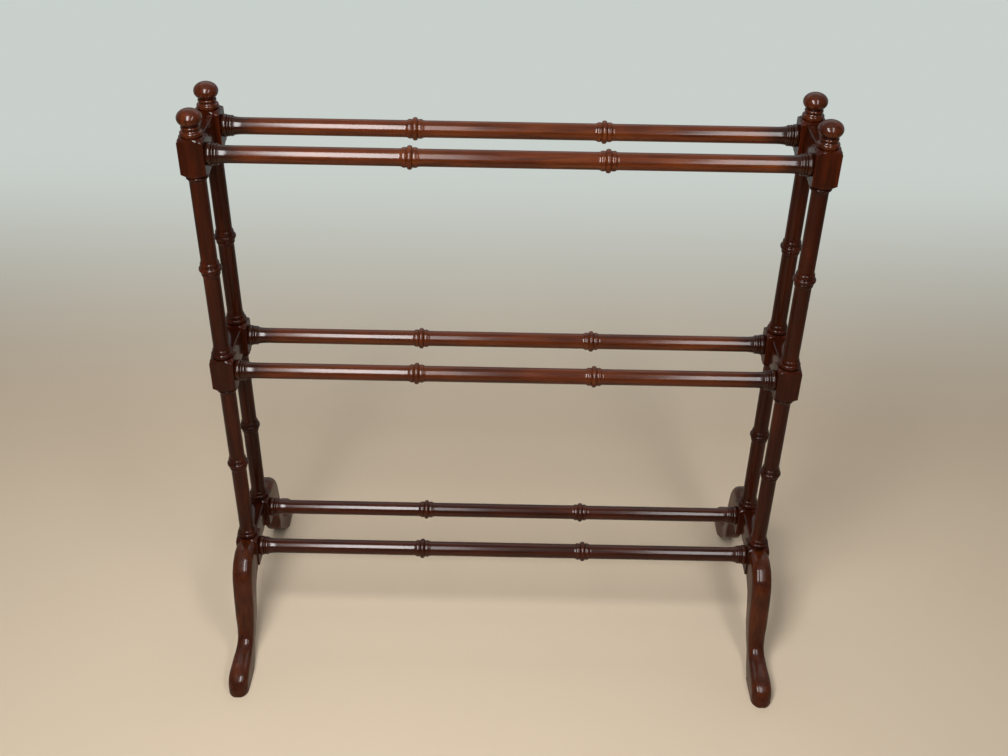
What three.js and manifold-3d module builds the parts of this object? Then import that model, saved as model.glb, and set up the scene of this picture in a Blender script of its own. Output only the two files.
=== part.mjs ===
// Quilt rack of turned wood: two end frames joined by six ringed rails, on four curved feet.
// Millimetres. X runs along the rails, Y from front to back and Z up.
// The origin is on the floor, under the middle of the rack.
import * as THREE from 'three';
import { mergeVertices } from 'three/addons/utils/BufferGeometryUtils.js';
import Module from 'manifold-3d';

const wasm = await Module();
wasm.setup();

// Layout
const POST_SPAN = 774; // left post axis to right post axis
const FRAME_DEPTH = 91.5; // front post axis to back post axis
const LOWER_LEVEL = 144; // height of the lower rails' axes
const MIDDLE_LEVEL = 466; // height of the middle rails' axes
const TOP_LEVEL = 785; // height of the top rails' axes

// Posts
const BLOCK_WIDTH = 32; // square blank that the post is turned from
const BLOCK_RISE = 19.5; // rail axis up to the top corners of its block
const BLOCK_DROP = 22; // rail axis down to the bottom corners of its block
const POST_END = 26; // lower rail axis down to the sawn end of the post
const POST_SHAFT = 22; // diameter between the beads
const POST_RING = 30; // diameter of the ring bead midway between two blocks
const TURNING_CLEARANCE = 0.5; // turned surface clear of a block's corners
const SHOULDER_DEPTH = 4.3; // turned shoulder beyond the corners of a block
const COLLAR_DIAMETER = 30; // large bead above the lower and middle blocks
const COLLAR_WIDTH = 7.2;
const COLLAR_GAP = 0.3; // quirk between the shoulder and the large bead
const FILLET_DIAMETER = 25.5; // small bead above the large one
const FILLET_WIDTH = 5;
const QUIRK_DIAMETER = 23.6; // narrow grooves beside the beads
const COVE_LENGTH = 9; // hollow from the small bead down to the shaft
const NECKING_DIAMETER = 26.5; // shallow groove under the middle and top blocks
const NECKING_WIDTH = 1.7;
const STEP_BEAD = 28.4; // bead under that groove
const STEP_WIDTH = 3.4;
const STEP_COVE = 6; // hollow from that bead down to the shaft

// Ring beads of the posts and rails
const RING_WIDTH = 7;
const FLANK_BEAD = 25.3; // low beads on both sides of a ring bead
const FLANK_WIDTH = 6;
const FLARE_LENGTH = 4; // hollow from a low bead to the shaft

// Rails
const RAIL_SHAFT = 22;
const RAIL_RING = 30;
const RING_SPACING = 244; // between the two ring beads of a rail
const END_BEAD = 29.5; // bead that butts on the block
const END_BEAD_WIDTH = 6.4;
const LINE_BEAD = 27.8; // narrow bead beside it
const LINE_WIDTH = 3.2;
const INNER_BEAD = 27.2; // last bead, where the long flare starts
const INNER_WIDTH = 4.2;
const END_QUIRK = 25.6; // grooves between these beads
const END_FLARE = 14; // from the last bead to the shaft
const TENON_DIAMETER = 13;
const TENON_WEB = 12; // wood of the block behind the tenon

// Cross rails
const CROSS_THICKNESS = 19;
const CROSS_INSET = 3.8; // top of the board under the top of the block's face
const CROSS_EDGE = 1.2; // eased long edges
const CROSS_CORE = 23; // wood between the dowels of the two ends

// Feet: outs are measured from the post's block, drops from the joint and heights from the floor
const FOOT_WIDTH = 29; // at the joint, the knee and the toe
const FOOT_REACH = 158; // out to the tip of the toe
const FOOT_JOINT = 46; // height of the face on the block, centred on the rail's axis
const CREST_OUT = 21; // level top of the foot
const BROW_OUT = 41; // rounded upper side between crest and knee
const BROW_DROP = 9.5;
const KNEE_OUT = 55.5;
const KNEE_DROP = 31.5;
const HAM_OUT = 27; // hollow behind the knee
const HAM_DROP = 21;
const SHIN_OUT = 69.5;
const SHIN_HEIGHT = 78;
const SHIN_WIDTH = 28;
const CALF_OUT = 39.5; // behind the shin
const CALF_HEIGHT = 65;
const INSTEP_OUT = 76.5;
const INSTEP_HEIGHT = 51.5;
const INSTEP_WIDTH = 25;
const HOLLOW_OUT = 47.5; // behind the instep
const HOLLOW_HEIGHT = 43;
const ANKLE_OUT = 92;
const ANKLE_HEIGHT = 36;
const ANKLE_WIDTH = 24;
const HEEL_OUT = 65; // behind the ankle
const HEEL_HEIGHT = 24.5;
const SOLE_OUT = 100; // where the sole meets the floor
const TOE_HEIGHT = 29.5;
const TOE_LENGTH = 19.5; // rounded nose in front of the toe's top
const TOE_ROUND = 15; // length of the half oval that the toe ends in, seen from above
const TOE_TIP = 3; // width of its tip
const FOOT_ROUNDING = 10.5; // radius along the upper edges
const FOOT_EASING = 3.5; // radius along the lower edges
const SOLE_EASING = 1; // radius along the sole
const FOOT_DOWEL_IN_FOOT = 18;

// Finials
const KNOB_DIAMETER = 31.4;
const KNOB_HEIGHT = 20.6;
const NECK_DIAMETER = 19.5;
const NECK_HEIGHT = 0.8;
const BASE_BEAD = 28.5;
const BASE_BEAD_WIDTH = 6;
const BASE_QUIRK = 25; // where that bead starts and ends
const BASE_COVE = 3; // hollow above it
const LIP_BEAD = 24; // small bead under the neck
const LIP_WIDTH = 3.6;
const LIP_QUIRK = 21.5; // where that bead starts
const SPIGOT_DIAMETER = 8;
const SPIGOT_LENGTH = 12;

// Joints
const DOWEL_DIAMETER = 8;
const PEG_WEB = 2.5; // wood between a dowel and the rail's tenon
const SPIGOT_WEB = 2; // wood between a dowel's end and the finial's spigot
const DOWEL_WEB = 6; // wood between dowels that face each other in a block
const GLUE_GAP = 0.2; // left around every peg and between two faces
const BORE_EXTRA = 0.6; // bores are this much deeper than the peg

// Facets
const POST_SIDES = 12;
const RAIL_SIDES = 12;
const FINIAL_SIDES = 12;
const PEG_SIDES = 8;
const FOOT_RIBS = 28;
const BEAD_STEPS = 4;
const KNOB_STEPS = 4;
const COVE_STEPS = 2;

// Colours
const LACQUERED_WOOD = { color: 0x4a1c10, roughness: 0.28 };
const DOWEL_WOOD = { color: 0xc9a877, roughness: 0.7 };

// Worked out from the sizes above
const HALF_SPAN = POST_SPAN / 2;
const HALF_DEPTH = FRAME_DEPTH / 2;
const HALF_BLOCK = BLOCK_WIDTH / 2;
const RAIL_LENGTH = POST_SPAN - BLOCK_WIDTH - 2 * GLUE_GAP;
const TENON_LENGTH = BLOCK_WIDTH - TENON_WEB;
const CROSS_LENGTH = FRAME_DEPTH - BLOCK_WIDTH - 2 * GLUE_GAP;
const CROSS_HEIGHT = 2 * (BLOCK_RISE + SHOULDER_DEPTH - CROSS_INSET);
const CROSS_DOWEL_IN_POST = HALF_BLOCK - SPIGOT_DIAMETER / 2 - SPIGOT_WEB;
const CROSS_DOWEL_IN_RAIL = (CROSS_LENGTH - CROSS_CORE) / 2;
const FOOT_DOWEL_IN_POST = BLOCK_WIDTH - CROSS_DOWEL_IN_POST - DOWEL_WEB;
const DOWEL_PITCH = TENON_DIAMETER + DOWEL_DIAMETER + 2 * PEG_WEB;
const POST_TOP = TOP_LEVEL + BLOCK_RISE + SHOULDER_DEPTH;
const FOOT_TOP = LOWER_LEVEL + FOOT_JOINT / 2;
const FOOT_BOTTOM = LOWER_LEVEL - FOOT_JOINT / 2;
const LEVELS = { lower: LOWER_LEVEL, middle: MIDDLE_LEVEL, top: TOP_LEVEL };
const SIDES = { left: -1, right: 1 };
const FACES = { front: -1, back: 1 };

// A closed surface with shared vertices and no empty triangles, facing outwards
function closed(geometry) {
  geometry.deleteAttribute('normal');
  geometry.deleteAttribute('uv');
  const merged = mergeVertices(geometry, 1e-3);
  const kept = [];
  const index = merged.index.array;
  for (let i = 0; i < index.length; i += 3) {
    const [a, b, c] = [index[i], index[i + 1], index[i + 2]];
    if (a !== b && b !== c && c !== a) {
      kept.push([a, b, c]);
    }
  }
  const point = (i) => new THREE.Vector3().fromBufferAttribute(merged.attributes.position, i);
  const volume = kept.reduce((sum, [a, b, c]) => sum + point(a).dot(point(b).cross(point(c))), 0);
  merged.setIndex(kept.flatMap(([a, b, c]) => (volume < 0 ? [a, c, b] : [a, b, c])));
  return merged;
}

function toSolid(geometry) {
  const surface = closed(geometry);
  const vertProperties = new Float32Array(surface.attributes.position.array);
  const triVerts = new Uint32Array(surface.index.array);
  return new wasm.Manifold(new wasm.Mesh({ numProp: 3, vertProperties, triVerts }));
}

function toGeometry(solid) {
  const mesh = solid.getMesh();
  const geometry = new THREE.BufferGeometry();
  geometry.setAttribute('position', new THREE.BufferAttribute(new Float32Array(mesh.vertProperties), 3));
  geometry.setIndex(Array.from(mesh.triVerts));
  return geometry;
}

// Turned work: a profile is a list of points, radius first, along the piece's axis
function turn(profile, sides) {
  const geometry = new THREE.LatheGeometry(profile, sides);
  geometry.rotateX(Math.PI / 2);
  return geometry;
}

function at(radius, station) {
  return new THREE.Vector2(radius, station);
}

// Half-round bead on a cylinder of the flank's diameter
function bead(start, width, flank, crown, steps = BEAD_STEPS) {
  const points = [];
  for (let i = 0; i <= steps; i += 1) {
    const angle = (Math.PI * i) / steps;
    const radius = (flank + (crown - flank) * Math.sin(angle)) / 2;
    points.push(at(radius, start + (width * (1 - Math.cos(angle))) / 2));
  }
  return points;
}

// Hollow that leaves the wide end steeply and runs out along the narrow one
function cove(wideStation, wide, narrowStation, narrow, steps = COVE_STEPS) {
  const points = [];
  for (let i = 0; i <= steps; i += 1) {
    const angle = ((Math.PI / 2) * i) / steps;
    const radius = (narrow + (wide - narrow) * (1 - Math.sin(angle))) / 2;
    points.push(at(radius, wideStation + (narrowStation - wideStation) * (1 - Math.cos(angle))));
  }
  return points;
}

// Ring bead between two low beads
function ring(centre, shaft, crown) {
  const half = RING_WIDTH / 2;
  const reach = half + FLANK_WIDTH + FLARE_LENGTH;
  return [
    at(shaft / 2, centre - reach),
    ...bead(centre - half - FLANK_WIDTH, FLANK_WIDTH, QUIRK_DIAMETER, FLANK_BEAD, 2),
    ...bead(centre - half, RING_WIDTH, QUIRK_DIAMETER, crown).slice(1, -1),
    ...bead(centre + half, FLANK_WIDTH, QUIRK_DIAMETER, FLANK_BEAD, 2),
    at(shaft / 2, centre + reach),
  ];
}

// Round peg or bore, its axis along x, y or z from a start point
function peg(diameter, length, axis, start, sides = PEG_SIDES) {
  const geometry = new THREE.CylinderGeometry(diameter / 2, diameter / 2, length, sides);
  geometry.translate(0, length / 2, 0);
  const direction = new THREE.Vector3(...axis);
  const turnTo = new THREE.Quaternion().setFromUnitVectors(new THREE.Vector3(0, 1, 0), direction);
  geometry.applyQuaternion(turnTo);
  geometry.translate(...start);
  return geometry;
}

function bore(diameter, depth, axis, start, sides) {
  return peg(diameter + 2 * GLUE_GAP, depth + BORE_EXTRA, axis, start, sides);
}

// Turned stretch of a post between the block below it and the block above it
function postBay(fromLevel, toLevel) {
  const foot = fromLevel + BLOCK_RISE;
  const head = toLevel - BLOCK_DROP;
  const collar = foot + SHOULDER_DEPTH + COLLAR_GAP;
  const fillet = collar + COLLAR_WIDTH;
  const coveFoot = fillet + FILLET_WIDTH;
  const step = head - SHOULDER_DEPTH - NECKING_WIDTH - STEP_WIDTH;
  return [
    ...shoulder(foot, 1),
    ...bead(collar, COLLAR_WIDTH, QUIRK_DIAMETER, COLLAR_DIAMETER),
    ...bead(fillet, FILLET_WIDTH, QUIRK_DIAMETER, FILLET_DIAMETER, 2).slice(1),
    at(POST_SHAFT / 2, coveFoot + COVE_LENGTH),
    ...ring((fromLevel + toLevel) / 2, POST_SHAFT, POST_RING),
    at(POST_SHAFT / 2, step - STEP_COVE),
    ...bead(step, STEP_WIDTH, NECKING_DIAMETER, STEP_BEAD, 2),
    ...shoulder(head, -1).reverse(),
  ];
}

// The turned surface stands clear of the blank's corners along a block
function blockRadius() {
  return (HALF_BLOCK * Math.SQRT2 + TURNING_CLEARANCE) / Math.cos(Math.PI / POST_SIDES);
}

// Slope from the corners of a block to the middles of its faces, upwards or downwards
function shoulder(corner, direction) {
  return [at(blockRadius(), corner), at(HALF_BLOCK, corner + direction * SHOULDER_DEPTH)];
}

function postProfile() {
  const end = LOWER_LEVEL - POST_END;
  return [
    at(0, end),
    at(blockRadius(), end),
    ...postBay(LOWER_LEVEL, MIDDLE_LEVEL),
    ...postBay(MIDDLE_LEVEL, TOP_LEVEL),
    ...shoulder(TOP_LEVEL + BLOCK_RISE, 1),
    at(0, POST_TOP),
  ];
}

// The post's blank is square, so its blocks are what the turning leaves untouched.
// inwardX points along the rails and inwardY along the cross rails.
function postSolid(inwardX, inwardY) {
  const blank = new THREE.BoxGeometry(BLOCK_WIDTH, BLOCK_WIDTH, 2 * POST_TOP);
  let post = toSolid(turn(postProfile(), POST_SIDES)).intersect(toSolid(blank));
  const cuts = [bore(SPIGOT_DIAMETER, SPIGOT_LENGTH, [0, 0, -1], [0, 0, POST_TOP], FINIAL_SIDES)];
  for (const level of Object.values(LEVELS)) {
    const face = [inwardX * HALF_BLOCK, 0, level];
    cuts.push(bore(TENON_DIAMETER, TENON_LENGTH, [-inwardX, 0, 0], face, RAIL_SIDES));
    for (const rise of pair(DOWEL_PITCH)) {
      const start = [0, inwardY * HALF_BLOCK, level + rise];
      cuts.push(bore(DOWEL_DIAMETER, CROSS_DOWEL_IN_POST, [0, -inwardY, 0], start));
    }
  }
  for (const rise of pair(DOWEL_PITCH)) {
    const start = [0, -inwardY * HALF_BLOCK, LOWER_LEVEL + rise];
    cuts.push(bore(DOWEL_DIAMETER, FOOT_DOWEL_IN_POST, [0, inwardY, 0], start));
  }
  for (const cut of cuts) {
    post = post.subtract(toSolid(cut));
  }
  return toGeometry(post);
}

function pair(pitch) {
  return [-pitch / 2, pitch / 2];
}

// Rail, turned about its own axis with its middle at the origin
function railGeometry() {
  const end = RAIL_LENGTH / 2;
  const line = end - END_BEAD_WIDTH - LINE_WIDTH;
  const inner = line - INNER_WIDTH;
  const half = [
    ...ring(RING_SPACING / 2, RAIL_SHAFT, RAIL_RING),
    ...cove(inner, END_QUIRK, inner - END_FLARE, RAIL_SHAFT).reverse(),
    ...bead(inner, INNER_WIDTH, END_QUIRK, INNER_BEAD, 2).slice(1),
    ...bead(line, LINE_WIDTH, END_QUIRK, LINE_BEAD, 2).slice(1),
    ...bead(end - END_BEAD_WIDTH, END_BEAD_WIDTH, END_QUIRK, END_BEAD).slice(1),
    at(TENON_DIAMETER / 2, end),
    at(TENON_DIAMETER / 2, end + TENON_LENGTH),
    at(0, end + TENON_LENGTH),
  ];
  const mirrored = half.map((point) => at(point.x, -point.y)).reverse();
  const geometry = turn([...mirrored, ...half], RAIL_SIDES);
  geometry.rotateY(Math.PI / 2);
  return closed(geometry);
}

// Cross rail: a short board with eased long edges, bored for its dowels
function crossRailGeometry() {
  const [x, z, e] = [CROSS_THICKNESS / 2, CROSS_HEIGHT / 2, CROSS_EDGE];
  const outline = new THREE.Shape();
  outline.moveTo(x - e, -z);
  outline.lineTo(x, -z + e);
  outline.lineTo(x, z - e);
  outline.lineTo(x - e, z);
  outline.lineTo(-x + e, z);
  outline.lineTo(-x, z - e);
  outline.lineTo(-x, -z + e);
  outline.lineTo(-x + e, -z);
  const board = new THREE.ExtrudeGeometry(outline, { depth: CROSS_LENGTH, bevelEnabled: false });
  board.translate(0, 0, -CROSS_LENGTH / 2);
  board.rotateX(-Math.PI / 2);
  let solid = toSolid(board);
  for (const face of Object.values(FACES)) {
    for (const rise of pair(DOWEL_PITCH)) {
      const start = [0, (face * CROSS_LENGTH) / 2, rise];
      solid = solid.subtract(toSolid(bore(DOWEL_DIAMETER, CROSS_DOWEL_IN_RAIL, [0, -face, 0], start)));
    }
  }
  return toGeometry(solid);
}

// Foot outline seen from the end of the rack, as distances out from the block and heights.
// Each upper point has its lower point across the wood, and the width of the foot there.
function footOutline() {
  const upper = [
    [0, FOOT_TOP],
    [CREST_OUT, FOOT_TOP],
    [BROW_OUT, FOOT_TOP - BROW_DROP],
    [KNEE_OUT, FOOT_TOP - KNEE_DROP],
    [SHIN_OUT, SHIN_HEIGHT],
    [INSTEP_OUT, INSTEP_HEIGHT],
    [ANKLE_OUT, ANKLE_HEIGHT],
    [FOOT_REACH - TOE_LENGTH, TOE_HEIGHT],
    [FOOT_REACH - TOE_LENGTH / 5, TOE_HEIGHT / 2],
    [FOOT_REACH, TOE_HEIGHT / 8],
  ];
  const lower = [
    [0, FOOT_BOTTOM],
    [HAM_OUT / 4, FOOT_BOTTOM - HAM_DROP / 4],
    [HAM_OUT * 0.6, FOOT_BOTTOM - HAM_DROP / 2],
    [HAM_OUT, FOOT_BOTTOM - HAM_DROP],
    [CALF_OUT, CALF_HEIGHT],
    [HOLLOW_OUT, HOLLOW_HEIGHT],
    [HEEL_OUT, HEEL_HEIGHT],
    [SOLE_OUT, 0],
    [FOOT_REACH - TOE_LENGTH, 0],
    [FOOT_REACH - SOLE_EASING, 0],
  ];
  const waist = [SHIN_WIDTH, INSTEP_WIDTH, ANKLE_WIDTH];
  const widths = [...Array(4).fill(FOOT_WIDTH), ...waist, ...Array(3).fill(FOOT_WIDTH)];
  return { upper, lower, widths };
}

// Share of the foot's width that is left at a distance out, which rounds the toe
function toeShare(out) {
  const nose = Math.min(Math.max((out - FOOT_REACH + TOE_ROUND) / TOE_ROUND, 0), 1);
  const tip = TOE_TIP / FOOT_WIDTH;
  return tip + (1 - tip) * Math.sqrt(1 - nose * nose);
}

// Cross-section of the foot: u runs across its width and v from the lower edge to the upper edge
function footSection(width, depth, rounding, easing) {
  const top = Math.min(rounding, width / 2, depth / 2);
  const low = Math.min(easing, depth / 4);
  const points = [];
  for (const corner of [1, -1]) {
    const sweep = [0, 1, 2, 3].map((i) => (Math.PI / 6) * (corner > 0 ? i : 3 - i));
    for (const angle of sweep) {
      const across = width / 2 - top + top * Math.cos(angle);
      points.push([corner * across, depth / 2 - top + top * Math.sin(angle)]);
    }
  }
  points.push([-width / 2, -depth / 2 + low]);
  points.push([-width / 2 + low, -depth / 2]);
  points.push([width / 2 - low, -depth / 2]);
  points.push([width / 2, -depth / 2 + low]);
  return points;
}

// The ribs of the foot, from the joint to the toe, each a closed loop of points
function footRibs() {
  const outline = footOutline();
  const curve = (points) => new THREE.SplineCurve(points.map(([out, height]) => at(out, height)));
  const top = curve(outline.upper);
  const bottom = curve(outline.lower);
  const wide = curve(outline.widths.map((width) => [width, 0]));
  const ribs = [];
  for (let i = 0; i < FOOT_RIBS; i += 1) {
    const share = i / (FOOT_RIBS - 1);
    const high = top.getPoint(share);
    const low = bottom.getPoint(share);
    low.y = Math.max(low.y, 0);
    const middle = high.clone().add(low).multiplyScalar(0.5);
    const across = high.clone().sub(low);
    const depth = across.length();
    across.normalize();
    const easing = low.y > 0 ? FOOT_EASING : SOLE_EASING;
    const section = footSection(wide.getPoint(share).x, depth, FOOT_ROUNDING, easing);
    ribs.push(section.map(([u, v]) => {
      const out = middle.x + across.x * v;
      const height = middle.y + across.y * v;
      return new THREE.Vector3(u * toeShare(out), out, Math.max(height, 0));
    }));
  }
  return ribs;
}

// Surface through a row of loops, closed by a fan at both ends
function loft(loops) {
  const count = loops[0].length;
  const points = loops.flat();
  const index = [];
  for (let i = 0; i < loops.length - 1; i += 1) {
    for (let j = 0; j < count; j += 1) {
      const a = i * count + j;
      const b = i * count + ((j + 1) % count);
      index.push(a, b, b + count, a, b + count, a + count);
    }
  }
  for (const [row, flip] of [[0, true], [loops.length - 1, false]]) {
    for (let j = 1; j < count - 1; j += 1) {
      const [a, b, c] = [row * count, row * count + j, row * count + j + 1];
      index.push(...(flip ? [a, c, b] : [a, b, c]));
    }
  }
  const geometry = new THREE.BufferGeometry().setFromPoints(points);
  geometry.setIndex(index);
  return geometry;
}

// A foot grows along +Y from the origin, or along -Y for the front ones
function footGeometry(outward) {
  const body = loft(footRibs());
  let foot = toSolid(body);
  for (const rise of pair(DOWEL_PITCH)) {
    const start = [0, 0, LOWER_LEVEL + rise];
    foot = foot.subtract(toSolid(bore(DOWEL_DIAMETER, FOOT_DOWEL_IN_FOOT, [0, 1, 0], start)));
  }
  const geometry = toGeometry(foot);
  if (outward < 0) {
    geometry.rotateZ(Math.PI);
  }
  return geometry;
}

// Finial with its underside at the origin and its spigot below
function finialGeometry() {
  const lip = BASE_BEAD_WIDTH + BASE_COVE;
  const neck = lip + LIP_WIDTH;
  const knob = neck + NECK_HEIGHT;
  const start = Math.asin(NECK_DIAMETER / KNOB_DIAMETER);
  const angles = [start, (start + Math.PI / 2) / 2];
  for (let i = 0; i < KNOB_STEPS; i += 1) {
    angles.push((Math.PI / 2) * (1 + i / KNOB_STEPS));
  }
  const crown = angles.map((angle) => {
    const rise = (Math.cos(start) - Math.cos(angle)) / (1 + Math.cos(start));
    return at((KNOB_DIAMETER / 2) * Math.sin(angle), knob + KNOB_HEIGHT * rise);
  });
  const profile = [
    at(0, -SPIGOT_LENGTH),
    at(SPIGOT_DIAMETER / 2, -SPIGOT_LENGTH),
    at(SPIGOT_DIAMETER / 2, 0),
    ...bead(0, BASE_BEAD_WIDTH, BASE_QUIRK, BASE_BEAD),
    ...bead(lip, LIP_WIDTH, LIP_QUIRK, LIP_BEAD, 2).slice(0, -1),
    at(NECK_DIAMETER / 2, neck),
    ...crown,
    at(0, knob + KNOB_HEIGHT),
  ];
  return closed(turn(profile, FINIAL_SIDES));
}

function addPiece(group, name, geometry, position, wood = LACQUERED_WOOD) {
  const mesh = new THREE.Mesh(geometry, new THREE.MeshStandardMaterial(wood));
  mesh.name = name;
  mesh.position.set(...position);
  group.add(mesh);
}

// Post, finial and foot at one corner of an end frame
function addCorner(frame, side, face) {
  const y = FACES[face] * HALF_DEPTH;
  const name = `${face}_${side}`;
  addPiece(frame, `post_${name}`, postSolid(-SIDES[side], -FACES[face]), [0, y, 0]);
  addPiece(frame, `finial_${name}`, finialGeometry(), [0, y, POST_TOP + GLUE_GAP]);
  const footY = y + FACES[face] * (HALF_BLOCK + GLUE_GAP);
  addPiece(frame, `foot_${name}`, footGeometry(FACES[face]), [0, footY, 0]);
  pair(DOWEL_PITCH).forEach((rise, i) => {
    const start = y + FACES[face] * (HALF_BLOCK - FOOT_DOWEL_IN_POST);
    const length = FOOT_DOWEL_IN_POST + GLUE_GAP + FOOT_DOWEL_IN_FOOT;
    const dowel = closed(peg(DOWEL_DIAMETER, length, [0, FACES[face], 0], [0, 0, 0]));
    const place = [0, start, LOWER_LEVEL + rise];
    addPiece(frame, `foot_dowel_${name}_${i + 1}`, dowel, place, DOWEL_WOOD);
  });
}

// Cross rail of one level of an end frame, with the dowels at both of its ends
function addCrossRail(frame, side, level) {
  addPiece(frame, `cross_rail_${side}_${level}`, crossRailGeometry(), [0, 0, LEVELS[level]]);
  for (const [face, sign] of Object.entries(FACES)) {
    pair(DOWEL_PITCH).forEach((rise, i) => {
      const start = sign * (CROSS_LENGTH / 2 - CROSS_DOWEL_IN_RAIL);
      const length = CROSS_DOWEL_IN_RAIL + GLUE_GAP + CROSS_DOWEL_IN_POST;
      const dowel = closed(peg(DOWEL_DIAMETER, length, [0, sign, 0], [0, 0, 0]));
      const name = `cross_dowel_${side}_${level}_${face}_${i + 1}`;
      addPiece(frame, name, dowel, [0, start, LEVELS[level] + rise], DOWEL_WOOD);
    });
  }
}

function endFrame(side) {
  const frame = new THREE.Group();
  frame.position.x = SIDES[side] * HALF_SPAN;
  for (const face of Object.keys(FACES)) {
    addCorner(frame, side, face);
  }
  for (const level of Object.keys(LEVELS)) {
    addCrossRail(frame, side, level);
  }
  return frame;
}

function rails() {
  const group = new THREE.Group();
  for (const [level, height] of Object.entries(LEVELS)) {
    for (const [face, sign] of Object.entries(FACES)) {
      addPiece(group, `rail_${level}_${face}`, railGeometry(), [0, sign * HALF_DEPTH, height]);
    }
  }
  return group;
}

const rack = new THREE.Group();
for (const side of Object.keys(SIDES)) {
  rack.add(endFrame(side));
}
rack.add(rails());

export default rack;
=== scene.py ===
import math

import bmesh
import bpy
import numpy as np
from bpy.props import FloatProperty, FloatVectorProperty, IntProperty, PointerProperty
from mathutils import Matrix, Vector


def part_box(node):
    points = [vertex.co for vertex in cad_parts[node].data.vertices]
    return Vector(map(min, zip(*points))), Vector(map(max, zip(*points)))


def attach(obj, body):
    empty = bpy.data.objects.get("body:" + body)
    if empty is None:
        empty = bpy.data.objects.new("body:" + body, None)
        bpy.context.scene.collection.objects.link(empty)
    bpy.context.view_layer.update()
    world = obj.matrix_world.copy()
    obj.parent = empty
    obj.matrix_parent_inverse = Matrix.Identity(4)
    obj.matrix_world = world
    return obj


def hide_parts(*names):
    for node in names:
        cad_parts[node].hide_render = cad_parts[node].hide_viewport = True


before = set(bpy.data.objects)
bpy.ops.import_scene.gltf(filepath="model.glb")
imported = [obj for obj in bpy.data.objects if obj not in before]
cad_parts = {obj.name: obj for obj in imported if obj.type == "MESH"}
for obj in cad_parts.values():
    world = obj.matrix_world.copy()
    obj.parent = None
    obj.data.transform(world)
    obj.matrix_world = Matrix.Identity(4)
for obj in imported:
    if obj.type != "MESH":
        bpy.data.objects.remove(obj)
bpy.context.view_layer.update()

bl_info = {
    "name": "Quilt Rack",
    "version": (1, 0, 0),
    "blender": (4, 5, 0),
    "location": "3D View > Sidebar > Quilt Rack",
    "description": "Turns, saws and lacquers the pieces of a quilt rack round its packed model",
    "category": "Add Mesh",
}

MM = 0.001
FACES = ("front", "back")
SIDES = ("left", "right")
LEVELS = ("lower", "middle", "top")

# Turned pieces, in mm
TENON_LENGTH = 20.0  # of a rail inside each post
TENON_RADIUS = 6.5
SPIGOT_LENGTH = 12.0  # of a finial inside its post
SPIGOT_RADIUS = 4.0
CORNER_MARGIN = 0.6  # a block's profile stands this far outside the corners of its blank
CORNER_POWER = 44.0  # of the curve that stands for the blank's square, which eases its corners
CORNER_CROWDING = 0.2  # how far a post's facets crowd towards those corners, in radians
GROOVE_REACH = 2.2  # how far along the profile a groove looks for its rims
GROOVE_DEPTH = 1.2  # a groove this deep is darkened fully

# Feet, in mm
FOOT_JOINT = 46.0  # height of the face on the block
FOOT_RIBS = 163
FOOT_ROUNDING = 10.5  # radius along the upper edges
FOOT_EASING = 3.5  # radius along the lower edges
SOLE_EASING = 1.0  # radius along the sole
TOE_ROUND = 15.0  # length of the half oval that the toe ends in, seen from above
TOE_TIP = 3.0  # width of its tip

# Stain and painted light: 0 is as dark as the posts, 1 as pale as the top rails
# Painted light and shade by level: the top and middle rails are paler as if lit more, the lower
# ones darker in painted shade under the rails above
RAIL_PAINTED_LIGHT = {"top": 1.0, "middle": 0.9, "lower": 0.15}
FOOT_PALENESS = 0.5
FINIAL_PALENESS = 0.35
END_SHADE = 0.9  # painted shade: how much of the heartwood's colour the very ends of the palest rails take
GRAIN_TURNS = {"x": (0, 0, 0), "y": (0, 0, math.radians(90)), "z": (0, math.radians(90), 0)}

SMOOTH_ANGLE = math.radians(38)  # edges that bend more than this stay crisp
FLOOR_REACH = 9.0  # metres from the rack to the edge of the floor
BACKDROP_START, BACKDROP_END = 0.4, 1.8  # metres behind it, between which the floor pales

CAMERA_PLACE = (0.0049, -1.399, 1.3745)
CAMERA_PITCH, CAMERA_YAW, CAMERA_ROLL = (math.radians(a) for a in (34.014, -0.286, 0.927))
CAMERA_LENS, CAMERA_SENSOR = 42.256, 36.0  # mm


# Helpers for numbers and colours

def srgb(code):
    """Linear red, green, blue and alpha of an sRGB hex colour."""
    channels = [int(code[i:i + 2], 16) / 255 for i in (1, 3, 5)]
    return [c / 12.92 if c <= 0.04045 else ((c + 0.055) / 1.055) ** 2.4
            for c in channels] + [1.0]


def middle(node):
    """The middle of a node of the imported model."""
    low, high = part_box(node)
    return (low + high) / 2


def add(tree, kind, settings=None, inputs=()):
    """Add a node, set its properties, and give each input a value or a link.

    The inputs are a dict by name or number, or a list in the node's own order.
    """
    node = tree.nodes.new(kind)
    for name, value in (settings or {}).items():
        setattr(node, name, value)
    for key, value in inputs.items() if isinstance(inputs, dict) else enumerate(inputs):
        if isinstance(value, bpy.types.NodeSocket):
            tree.links.new(value, node.inputs[key])
        else:
            node.inputs[key].default_value = value
    return node


# Sizes and colours that a user can change

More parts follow.
